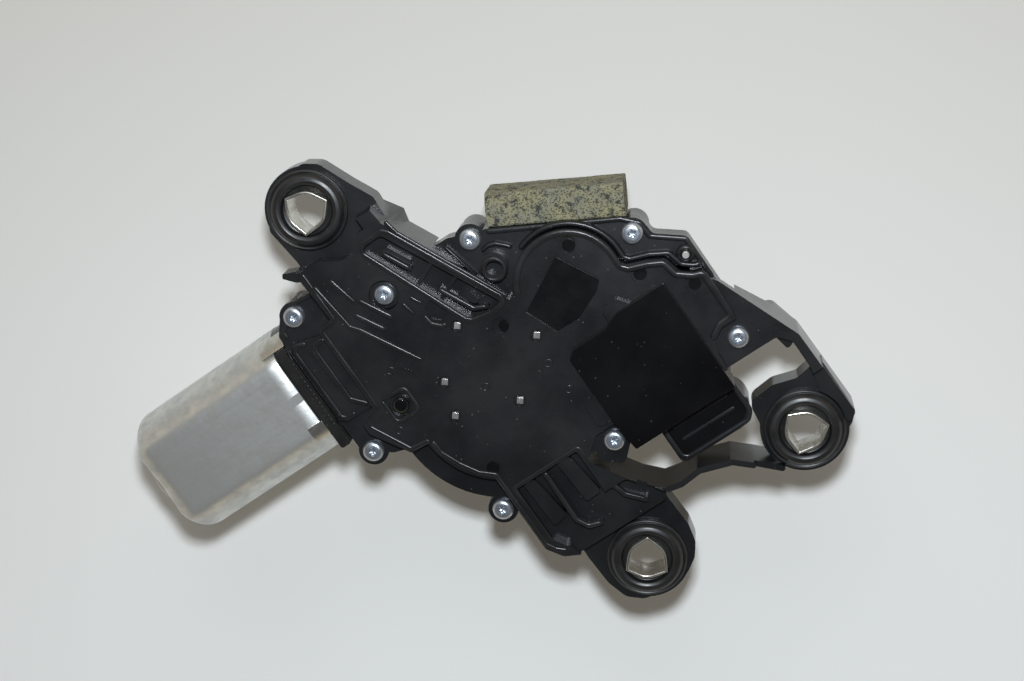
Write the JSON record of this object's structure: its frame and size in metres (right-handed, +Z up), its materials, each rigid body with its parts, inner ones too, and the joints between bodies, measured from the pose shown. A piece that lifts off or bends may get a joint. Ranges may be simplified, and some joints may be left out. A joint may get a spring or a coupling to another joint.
{
  "type": "rear wiper motor",
  "caption": "Wiper motor with a steel-canned armature, worm gear and toothed-link drive, moulded mounting cover with rubber-mounted eyes, plug socket and threaded output spindle",
  "frame": {"origin": "on the output spindle's axis, in the middle of its thread; the plane that the three mounting sleeves stand on is at z 0.05", "axes": "+X along the armature from the can's end to the gears, +Z up out of the cover; the spindle leaves along -Z"},
  "size_m": [0.2375, 0.2092, 0.0765],
  "materials": {
    "cover_plastic": "satin",
    "housing_plastic": "satin",
    "seal_rubber": "satin",
    "galvanised_steel": "satin",
    "zinc_steel": "satin",
    "zinc_screw": "satin",
    "tin_steel": "satin",
    "bright_steel": "polished",
    "carbon": "matte",
    "ferrite": "matte",
    "bronze": "satin",
    "copper": "satin",
    "gear_plastic": "satin",
    "board": "satin",
    "foam": "matte"
  },
  "bodies": {
    "root": {"mounting_cover": "cover_plastic", "gear_housing": "housing_plastic", "cover_gasket": "seal_rubber", "motor_can": "galvanised_steel", "brush_holder": "housing_plastic", "can_clips": "zinc_steel", "carbon_brushes": "carbon", "brush_springs": "zinc_steel", "field_magnets": "ferrite", "rear_bearing": "bronze", "front_bearing": "bronze", "thrust_pad": "gear_plastic", "wheel_axle": "bright_steel", "thrust_washer": "gear_plastic", "upper_bush": "bronze", "lower_bush": "bronze", "spindle_seal": "seal_rubber", "circuit_board": "board", "relay": "cover_plastic", "capacitor": "zinc_steel", "suppression_coils": "ferrite", "park_contacts": "bronze", "contact_pins": "tin_steel", "connector_terminals": "tin_steel", "locating_pin": "tin_steel", "cover_screws": "zinc_screw", "foam_pad": "foam", "upper_grommet": "seal_rubber", "lower_grommet": "seal_rubber", "side_grommet": "seal_rubber", "upper_sleeve": "zinc_steel", "lower_sleeve": "zinc_steel", "side_sleeve": "zinc_steel"},
    "armature": {"armature_shaft": "bright_steel", "armature_core": "bright_steel", "armature_windings": "copper", "commutator": "copper"},
    "wheel": {"worm_wheel": "gear_plastic", "contact_disc": "bronze", "crank_pin": "bright_steel"},
    "lever": {"guide_lever": "zinc_steel", "link_pin": "bright_steel"},
    "link": {"toothed_link": "bright_steel"},
    "spindle": {"output_spindle": "bright_steel", "output_pinion": "bright_steel", "retaining_ring": "bright_steel"}
  },
  "joints": [
    {"name": "armature_spin", "type": "hinge", "parent": "root", "child": "armature", "pos_m": [-0.1, 0.0195, 0.046], "axis": [1, 0, 0], "continuous": true},
    {"name": "wheel_spin", "type": "hinge", "parent": "root", "child": "wheel", "pos_m": [-0.045, -0.02, 0.05], "axis": [0, 0, 1], "continuous": true},
    {"name": "spindle_turn", "type": "hinge", "parent": "root", "child": "spindle", "pos_m": [0, 0, 0.05], "axis": [0, 0, 1], "range_deg": [-61.9, 61.9]},
    {"name": "lever_swing", "type": "hinge", "parent": "root", "child": "lever", "pos_m": [0, 0, 0.05], "axis": [0, 0, 1], "range_deg": [-25.6, 25.6]},
    {"name": "link_swing", "type": "hinge", "parent": "lever", "child": "link", "pos_m": [-0.00321, -0.0253, 0.05], "axis": [0, 0, 1], "range_deg": [-25.6, 25.6]}
  ],
  "couplings": [
    {"joint": "wheel_spin", "follows": "armature_spin", "ratio": 0.014706},
    {"joint": "lever_swing", "follows": "spindle_turn", "ratio": 0.41176},
    {"joint": "link_swing", "follows": "spindle_turn", "ratio": -0.41176}
  ]
}
